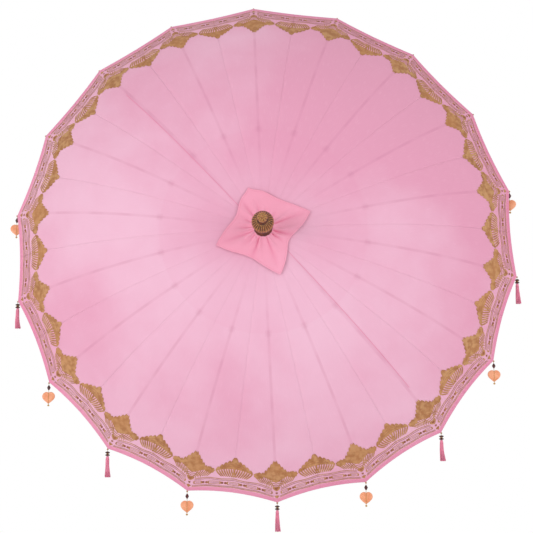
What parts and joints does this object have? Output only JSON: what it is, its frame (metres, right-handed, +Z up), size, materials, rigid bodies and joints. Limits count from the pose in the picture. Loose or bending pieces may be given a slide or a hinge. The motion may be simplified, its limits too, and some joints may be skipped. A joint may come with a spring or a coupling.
{
  "type": "garden parasol",
  "caption": "Round cotton garden parasol with ribs, fold linkage, painted border, finial, and hanging hearts and tassels.",
  "frame": {"origin": "centre of the pole's foot", "axes": "The parasol lies on its side, as its hanging hearts and tassels show. +Y runs along the pole from the finial to the foot, +Z is up, and the hearts and tassels hang to -Z. Turning it by -90 degrees about X stands it up with the finial on top."},
  "size_m": [2.0236, 2.4796, 2.1103],
  "materials": {
    "rib_wood": "varnished",
    "strut_wood": "varnished",
    "heart": "painted",
    "tassel": "twisted thread",
    "canopy_cloth": "plain cotton weave",
    "finial": "gilded carved wood",
    "hub_wood": "oiled",
    "pole_wood": "varnished"
  },
  "bodies": {
    "pole": {"pole_upper": "pole_wood", "pole_lower": "pole_wood", "top_hub": "hub_wood", "finial": "finial", "canopy": "canopy_cloth"},
    "runner": {"runner": "hub_wood"},
    "rib_01": {"rib_01": "rib_wood"},
    "strut_01": {"strut_01": "strut_wood"},
    "heart_01": {"heart_01": "heart"},
    "rib_02": {"rib_02": "rib_wood"},
    "strut_02": {"strut_02": "strut_wood"},
    "tassel_02": {"tassel_02": "tassel"},
    "rib_03": {"rib_03": "rib_wood"},
    "strut_03": {"strut_03": "strut_wood"},
    "heart_03": {"heart_03": "heart"},
    "rib_04": {"rib_04": "rib_wood"},
    "strut_04": {"strut_04": "strut_wood"},
    "tassel_04": {"tassel_04": "tassel"},
    "rib_05": {"rib_05": "rib_wood"},
    "strut_05": {"strut_05": "strut_wood"},
    "heart_05": {"heart_05": "heart"},
    "rib_06": {"rib_06": "rib_wood"},
    "strut_06": {"strut_06": "strut_wood"},
    "tassel_06": {"tassel_06": "tassel"},
    "rib_07": {"rib_07": "rib_wood"},
    "strut_07": {"strut_07": "strut_wood"},
    "heart_07": {"heart_07": "heart"},
    "rib_08": {"rib_08": "rib_wood"},
    "strut_08": {"strut_08": "strut_wood"},
    "tassel_08": {"tassel_08": "tassel"},
    "rib_09": {"rib_09": "rib_wood"},
    "strut_09": {"strut_09": "strut_wood"},
    "heart_09": {"heart_09": "heart"},
    "rib_10": {"rib_10": "rib_wood"},
    "strut_10": {"strut_10": "strut_wood"},
    "tassel_10": {"tassel_10": "tassel"},
    "rib_11": {"rib_11": "rib_wood"},
    "strut_11": {"strut_11": "strut_wood"},
    "heart_11": {"heart_11": "heart"},
    "rib_12": {"rib_12": "rib_wood"},
    "strut_12": {"strut_12": "strut_wood"},
    "tassel_12": {"tassel_12": "tassel"},
    "rib_13": {"rib_13": "rib_wood"},
    "strut_13": {"strut_13": "strut_wood"},
    "heart_13": {"heart_13": "heart"},
    "rib_14": {"rib_14": "rib_wood"},
    "strut_14": {"strut_14": "strut_wood"},
    "tassel_14": {"tassel_14": "tassel"},
    "rib_15": {"rib_15": "rib_wood"},
    "strut_15": {"strut_15": "strut_wood"},
    "heart_15": {"heart_15": "heart"},
    "rib_16": {"rib_16": "rib_wood"},
    "strut_16": {"strut_16": "strut_wood"},
    "tassel_16": {"tassel_16": "tassel"},
    "rib_17": {"rib_17": "rib_wood"},
    "strut_17": {"strut_17": "strut_wood"},
    "heart_17": {"heart_17": "heart"},
    "rib_18": {"rib_18": "rib_wood"},
    "strut_18": {"strut_18": "strut_wood"},
    "tassel_18": {"tassel_18": "tassel"}
  },
  "joints": [
    {"name": "runner_slide", "type": "slide", "parent": "pole", "child": "runner", "axis": [0, 1, 0], "range_m": [0, 0.4311], "deforming": ["canopy"]},
    {"name": "rib_01_hinge", "type": "hinge", "parent": "pole", "child": "rib_01", "pos_m": [-0.00212, -2.25, 0.04495], "axis": [-0.9989, 0, -0.0471], "range_deg": [0, 67]},
    {"name": "strut_01_hinge", "type": "hinge", "parent": "runner", "child": "strut_01", "pos_m": [-0.00179, -1.86, 0.03796], "axis": [0.9989, 0, 0.0471], "range_deg": [0, 29.36]},
    {"name": "heart_01_swing", "type": "hinge", "parent": "rib_01", "child": "heart_01", "pos_m": [-0.04711, -1.92257, 0.99889], "axis": [0.9939, 0.1103, 0], "range_deg": [0, 156.85]},
    {"name": "rib_02_hinge", "type": "hinge", "parent": "pole", "child": "rib_02", "pos_m": [0.01338, -2.25, 0.04296], "axis": [-0.9548, 0, 0.2974], "range_deg": [0, 67]},
    {"name": "strut_02_hinge", "type": "hinge", "parent": "runner", "child": "strut_02", "pos_m": [0.0113, -1.86, 0.03628], "axis": [0.9548, 0, -0.2974], "range_deg": [0, 29.36]},
    {"name": "tassel_02_swing", "type": "hinge", "parent": "rib_02", "child": "tassel_02", "pos_m": [0.29738, -1.92257, 0.95476], "axis": [0.819, -0.5738, 0], "range_deg": [0, 151.51]},
    {"name": "rib_03_hinge", "type": "hinge", "parent": "pole", "child": "rib_03", "pos_m": [0.02727, -2.25, 0.0358], "axis": [-0.7955, 0, 0.606], "range_deg": [0, 67]},
    {"name": "strut_03_hinge", "type": "hinge", "parent": "runner", "child": "strut_03", "pos_m": [0.02303, -1.86, 0.03023], "axis": [0.7955, 0, -0.606], "range_deg": [0, 29.36]},
    {"name": "heart_03_swing", "type": "hinge", "parent": "rib_03", "child": "heart_03", "pos_m": [0.60599, -1.92257, 0.79547], "axis": [0.5737, -0.8191, 0], "range_deg": [0, 137.07]},
    {"name": "rib_04_hinge", "type": "hinge", "parent": "pole", "child": "rib_04", "pos_m": [0.03787, -2.25, 0.02431], "axis": [-0.5402, 0, 0.8415], "range_deg": [0, 67]},
    {"name": "strut_04_hinge", "type": "hinge", "parent": "runner", "child": "strut_04", "pos_m": [0.03198, -1.86, 0.02053], "axis": [0.5402, 0, -0.8415], "range_deg": [0, 29.36]},
    {"name": "tassel_04_swing", "type": "hinge", "parent": "rib_04", "child": "tassel_04", "pos_m": [0.84151, -1.92257, 0.54024], "axis": [0.4504, -0.8928, 0], "range_deg": [0, 119.82]},
    {"name": "rib_05_hinge", "type": "hinge", "parent": "pole", "child": "rib_05", "pos_m": [0.0439, -2.25, 0.00989], "axis": [-0.2198, 0, 0.9755], "range_deg": [0, 67]},
    {"name": "strut_05_hinge", "type": "hinge", "parent": "runner", "child": "strut_05", "pos_m": [0.03707, -1.86, 0.00835], "axis": [0.2198, 0, -0.9755], "range_deg": [0, 29.36]},
    {"name": "heart_05_swing", "type": "hinge", "parent": "rib_05", "child": "heart_05", "pos_m": [0.97554, -1.92257, 0.21985], "axis": [0.399, -0.917, 0], "range_deg": [0, 101.68]},
    {"name": "rib_06_hinge", "type": "hinge", "parent": "pole", "child": "rib_06", "pos_m": [0.04464, -2.25, -0.00572], "axis": [0.1271, 0, 0.9919], "range_deg": [0, 67]},
    {"name": "strut_06_hinge", "type": "hinge", "parent": "runner", "child": "strut_06", "pos_m": [0.03769, -1.86, -0.00483], "axis": [-0.1271, 0, -0.9919], "range_deg": [0, 29.36]},
    {"name": "tassel_06_swing", "type": "hinge", "parent": "rib_06", "child": "tassel_06", "pos_m": [0.99189, -1.92257, -0.12707], "axis": [0.3934, -0.9194, 0], "range_deg": [0, 83.28]},
    {"name": "rib_07_hinge", "type": "hinge", "parent": "pole", "child": "rib_07", "pos_m": [0.03999, -2.25, -0.02064], "axis": [0.4587, 0, 0.8886], "range_deg": [0, 67]},
    {"name": "strut_07_hinge", "type": "hinge", "parent": "runner", "child": "strut_07", "pos_m": [0.03377, -1.86, -0.01743], "axis": [-0.4587, 0, -0.8886], "range_deg": [0, 29.36]},
    {"name": "heart_07_swing", "type": "hinge", "parent": "rib_07", "child": "heart_07", "pos_m": [0.88862, -1.92257, -0.45865], "axis": [0.431, -0.9023, 0], "range_deg": [0, 65.03]},
    {"name": "rib_08_hinge", "type": "hinge", "parent": "pole", "child": "rib_08", "pos_m": [0.03052, -2.25, -0.03307], "axis": [0.7349, 0, 0.6782], "range_deg": [0, 67]},
    {"name": "strut_08_hinge", "type": "hinge", "parent": "runner", "child": "strut_08", "pos_m": [0.02577, -1.86, -0.02793], "axis": [-0.7349, 0, -0.6782], "range_deg": [0, 29.36]},
    {"name": "tassel_08_swing", "type": "hinge", "parent": "rib_08", "child": "tassel_08", "pos_m": [0.67816, -1.92257, -0.73491], "axis": [0.5306, -0.8476, 0], "range_deg": [0, 47.43]},
    {"name": "rib_09_hinge", "type": "hinge", "parent": "pole", "child": "rib_09", "pos_m": [0.01737, -2.25, -0.04151], "axis": [0.9225, 0, 0.3859], "range_deg": [0, 67]},
    {"name": "strut_09_hinge", "type": "hinge", "parent": "runner", "child": "strut_09", "pos_m": [0.01466, -1.86, -0.03506], "axis": [-0.9225, 0, -0.3859], "range_deg": [0, 29.36]},
    {"name": "heart_09_swing", "type": "hinge", "parent": "rib_09", "child": "heart_09", "pos_m": [0.38591, -1.92257, -0.92254], "axis": [0.7399, -0.6727, 0], "range_deg": [0, 31.88]},
    {"name": "rib_10_hinge", "type": "hinge", "parent": "pole", "child": "rib_10", "pos_m": [0.00212, -2.25, -0.04495], "axis": [0.9989, 0, 0.0471], "range_deg": [0, 67]},
    {"name": "strut_10_hinge", "type": "hinge", "parent": "runner", "child": "strut_10", "pos_m": [0.00179, -1.86, -0.03796], "axis": [-0.9989, 0, -0.0471], "range_deg": [0, 29.36]},
    {"name": "tassel_10_swing", "type": "hinge", "parent": "rib_10", "child": "tassel_10", "pos_m": [0.04711, -1.92257, -0.99889], "axis": [0.9939, -0.1103, 0], "range_deg": [0, 23.15]},
    {"name": "rib_11_hinge", "type": "hinge", "parent": "pole", "child": "rib_11", "pos_m": [-0.01338, -2.25, -0.04296], "axis": [0.9548, 0, -0.2974], "range_deg": [0, 67]},
    {"name": "strut_11_hinge", "type": "hinge", "parent": "runner", "child": "strut_11", "pos_m": [-0.0113, -1.86, -0.03628], "axis": [-0.9548, 0, 0.2974], "range_deg": [0, 29.36]},
    {"name": "heart_11_swing", "type": "hinge", "parent": "rib_11", "child": "heart_11", "pos_m": [-0.29738, -1.92257, -0.95476], "axis": [0.819, 0.5738, 0], "range_deg": [0, 28.49]},
    {"name": "rib_12_hinge", "type": "hinge", "parent": "pole", "child": "rib_12", "pos_m": [-0.02727, -2.25, -0.0358], "axis": [0.7955, 0, -0.606], "range_deg": [0, 67]},
    {"name": "strut_12_hinge", "type": "hinge", "parent": "runner", "child": "strut_12", "pos_m": [-0.02303, -1.86, -0.03023], "axis": [-0.7955, 0, 0.606], "range_deg": [0, 29.36]},
    {"name": "tassel_12_swing", "type": "hinge", "parent": "rib_12", "child": "tassel_12", "pos_m": [-0.60599, -1.92257, -0.79547], "axis": [0.5737, 0.8191, 0], "range_deg": [0, 42.93]},
    {"name": "rib_13_hinge", "type": "hinge", "parent": "pole", "child": "rib_13", "pos_m": [-0.03787, -2.25, -0.02431], "axis": [0.5402, 0, -0.8415], "range_deg": [0, 67]},
    {"name": "strut_13_hinge", "type": "hinge", "parent": "runner", "child": "strut_13", "pos_m": [-0.03198, -1.86, -0.02053], "axis": [-0.5402, 0, 0.8415], "range_deg": [0, 29.36]},
    {"name": "heart_13_swing", "type": "hinge", "parent": "rib_13", "child": "heart_13", "pos_m": [-0.84151, -1.92257, -0.54024], "axis": [0.4504, 0.8928, 0], "range_deg": [0, 60.18]},
    {"name": "rib_14_hinge", "type": "hinge", "parent": "pole", "child": "rib_14", "pos_m": [-0.0439, -2.25, -0.00989], "axis": [0.2198, 0, -0.9755], "range_deg": [0, 67]},
    {"name": "strut_14_hinge", "type": "hinge", "parent": "runner", "child": "strut_14", "pos_m": [-0.03707, -1.86, -0.00835], "axis": [-0.2198, 0, 0.9755], "range_deg": [0, 29.36]},
    {"name": "tassel_14_swing", "type": "hinge", "parent": "rib_14", "child": "tassel_14", "pos_m": [-0.97554, -1.92257, -0.21985], "axis": [0.399, 0.917, 0], "range_deg": [0, 78.32]},
    {"name": "rib_15_hinge", "type": "hinge", "parent": "pole", "child": "rib_15", "pos_m": [-0.04464, -2.25, 0.00572], "axis": [-0.1271, 0, -0.9919], "range_deg": [0, 67]},
    {"name": "strut_15_hinge", "type": "hinge", "parent": "runner", "child": "strut_15", "pos_m": [-0.03769, -1.86, 0.00483], "axis": [0.1271, 0, 0.9919], "range_deg": [0, 29.36]},
    {"name": "heart_15_swing", "type": "hinge", "parent": "rib_15", "child": "heart_15", "pos_m": [-0.99189, -1.92257, 0.12707], "axis": [0.3934, 0.9194, 0], "range_deg": [0, 96.72]},
    {"name": "rib_16_hinge", "type": "hinge", "parent": "pole", "child": "rib_16", "pos_m": [-0.03999, -2.25, 0.02064], "axis": [-0.4587, 0, -0.8886], "range_deg": [0, 67]},
    {"name": "strut_16_hinge", "type": "hinge", "parent": "runner", "child": "strut_16", "pos_m": [-0.03377, -1.86, 0.01743], "axis": [0.4587, 0, 0.8886], "range_deg": [0, 29.36]},
    {"name": "tassel_16_swing", "type": "hinge", "parent": "rib_16", "child": "tassel_16", "pos_m": [-0.88862, -1.92257, 0.45865], "axis": [0.431, 0.9023, 0], "range_deg": [0, 114.97]},
    {"name": "rib_17_hinge", "type": "hinge", "parent": "pole", "child": "rib_17", "pos_m": [-0.03052, -2.25, 0.03307], "axis": [-0.7349, 0, -0.6782], "range_deg": [0, 67]},
    {"name": "strut_17_hinge", "type": "hinge", "parent": "runner", "child": "strut_17", "pos_m": [-0.02577, -1.86, 0.02793], "axis": [0.7349, 0, 0.6782], "range_deg": [0, 29.36]},
    {"name": "heart_17_swing", "type": "hinge", "parent": "rib_17", "child": "heart_17", "pos_m": [-0.67816, -1.92257, 0.73491], "axis": [0.5306, 0.8476, 0], "range_deg": [0, 132.57]},
    {"name": "rib_18_hinge", "type": "hinge", "parent": "pole", "child": "rib_18", "pos_m": [-0.01737, -2.25, 0.04151], "axis": [-0.9225, 0, -0.3859], "range_deg": [0, 67]},
    {"name": "strut_18_hinge", "type": "hinge", "parent": "runner", "child": "strut_18", "pos_m": [-0.01466, -1.86, 0.03506], "axis": [0.9225, 0, 0.3859], "range_deg": [0, 29.36]},
    {"name": "tassel_18_swing", "type": "hinge", "parent": "rib_18", "child": "tassel_18", "pos_m": [-0.38591, -1.92257, 0.92254], "axis": [0.7399, 0.6727, 0], "range_deg": [0, 148.12]}
  ],
  "couplings": [
    {"joint": "rib_01_hinge", "follows": "runner_slide", "rad_per_m": 2.7123},
    {"joint": "strut_01_hinge", "follows": "runner_slide", "rad_per_m": 1.1885},
    {"joint": "heart_01_swing", "follows": "runner_slide", "rad_per_m": 6.3495},
    {"joint": "rib_02_hinge", "follows": "runner_slide", "rad_per_m": 2.7123},
    {"joint": "strut_02_hinge", "follows": "runner_slide", "rad_per_m": 1.1885},
    {"joint": "tassel_02_swing", "follows": "runner_slide", "rad_per_m": 6.1333},
    {"joint": "rib_03_hinge", "follows": "runner_slide", "rad_per_m": 2.7123},
    {"joint": "strut_03_hinge", "follows": "runner_slide", "rad_per_m": 1.1885},
    {"joint": "heart_03_swing", "follows": "runner_slide", "rad_per_m": 5.5488},
    {"joint": "rib_04_hinge", "follows": "runner_slide", "rad_per_m": 2.7123},
    {"joint": "strut_04_hinge", "follows": "runner_slide", "rad_per_m": 1.1885},
    {"joint": "tassel_04_swing", "follows": "runner_slide", "rad_per_m": 4.8505},
    {"joint": "rib_05_hinge", "follows": "runner_slide", "rad_per_m": 2.7123},
    {"joint": "strut_05_hinge", "follows": "runner_slide", "rad_per_m": 1.1885},
    {"joint": "heart_05_swing", "follows": "runner_slide", "rad_per_m": 4.1162},
    {"joint": "rib_06_hinge", "follows": "runner_slide", "rad_per_m": 2.7123},
    {"joint": "strut_06_hinge", "follows": "runner_slide", "rad_per_m": 1.1885},
    {"joint": "tassel_06_swing", "follows": "runner_slide", "rad_per_m": 3.3713},
    {"joint": "rib_07_hinge", "follows": "runner_slide", "rad_per_m": 2.7123},
    {"joint": "strut_07_hinge", "follows": "runner_slide", "rad_per_m": 1.1885},
    {"joint": "heart_07_swing", "follows": "runner_slide", "rad_per_m": 2.6325},
    {"joint": "rib_08_hinge", "follows": "runner_slide", "rad_per_m": 2.7123},
    {"joint": "strut_08_hinge", "follows": "runner_slide", "rad_per_m": 1.1885},
    {"joint": "tassel_08_swing", "follows": "runner_slide", "rad_per_m": 1.92},
    {"joint": "rib_09_hinge", "follows": "runner_slide", "rad_per_m": 2.7123},
    {"joint": "strut_09_hinge", "follows": "runner_slide", "rad_per_m": 1.1885},
    {"joint": "heart_09_swing", "follows": "runner_slide", "rad_per_m": 1.2906},
    {"joint": "rib_10_hinge", "follows": "runner_slide", "rad_per_m": 2.7123},
    {"joint": "strut_10_hinge", "follows": "runner_slide", "rad_per_m": 1.1885},
    {"joint": "tassel_10_swing", "follows": "runner_slide", "rad_per_m": 0.93715},
    {"joint": "rib_11_hinge", "follows": "runner_slide", "rad_per_m": 2.7123},
    {"joint": "strut_11_hinge", "follows": "runner_slide", "rad_per_m": 1.1885},
    {"joint": "heart_11_swing", "follows": "runner_slide", "rad_per_m": 1.1533},
    {"joint": "rib_12_hinge", "follows": "runner_slide", "rad_per_m": 2.7123},
    {"joint": "strut_12_hinge", "follows": "runner_slide", "rad_per_m": 1.1885},
    {"joint": "tassel_12_swing", "follows": "runner_slide", "rad_per_m": 1.7379},
    {"joint": "rib_13_hinge", "follows": "runner_slide", "rad_per_m": 2.7123},
    {"joint": "strut_13_hinge", "follows": "runner_slide", "rad_per_m": 1.1885},
    {"joint": "heart_13_swing", "follows": "runner_slide", "rad_per_m": 2.4362},
    {"joint": "rib_14_hinge", "follows": "runner_slide", "rad_per_m": 2.7123},
    {"joint": "strut_14_hinge", "follows": "runner_slide", "rad_per_m": 1.1885},
    {"joint": "tassel_14_swing", "follows": "runner_slide", "rad_per_m": 3.1705},
    {"joint": "rib_15_hinge", "follows": "runner_slide", "rad_per_m": 2.7123},
    {"joint": "strut_15_hinge", "follows": "runner_slide", "rad_per_m": 1.1885},
    {"joint": "heart_15_swing", "follows": "runner_slide", "rad_per_m": 3.9154},
    {"joint": "rib_16_hinge", "follows": "runner_slide", "rad_per_m": 2.7123},
    {"joint": "strut_16_hinge", "follows": "runner_slide", "rad_per_m": 1.1885},
    {"joint": "tassel_16_swing", "follows": "runner_slide", "rad_per_m": 4.6541},
    {"joint": "rib_17_hinge", "follows": "runner_slide", "rad_per_m": 2.7123},
    {"joint": "strut_17_hinge", "follows": "runner_slide", "rad_per_m": 1.1885},
    {"joint": "heart_17_swing", "follows": "runner_slide", "rad_per_m": 5.3666},
    {"joint": "rib_18_hinge", "follows": "runner_slide", "rad_per_m": 2.7123},
    {"joint": "strut_18_hinge", "follows": "runner_slide", "rad_per_m": 1.1885},
    {"joint": "tassel_18_swing", "follows": "runner_slide", "rad_per_m": 5.9961}
  ]
}
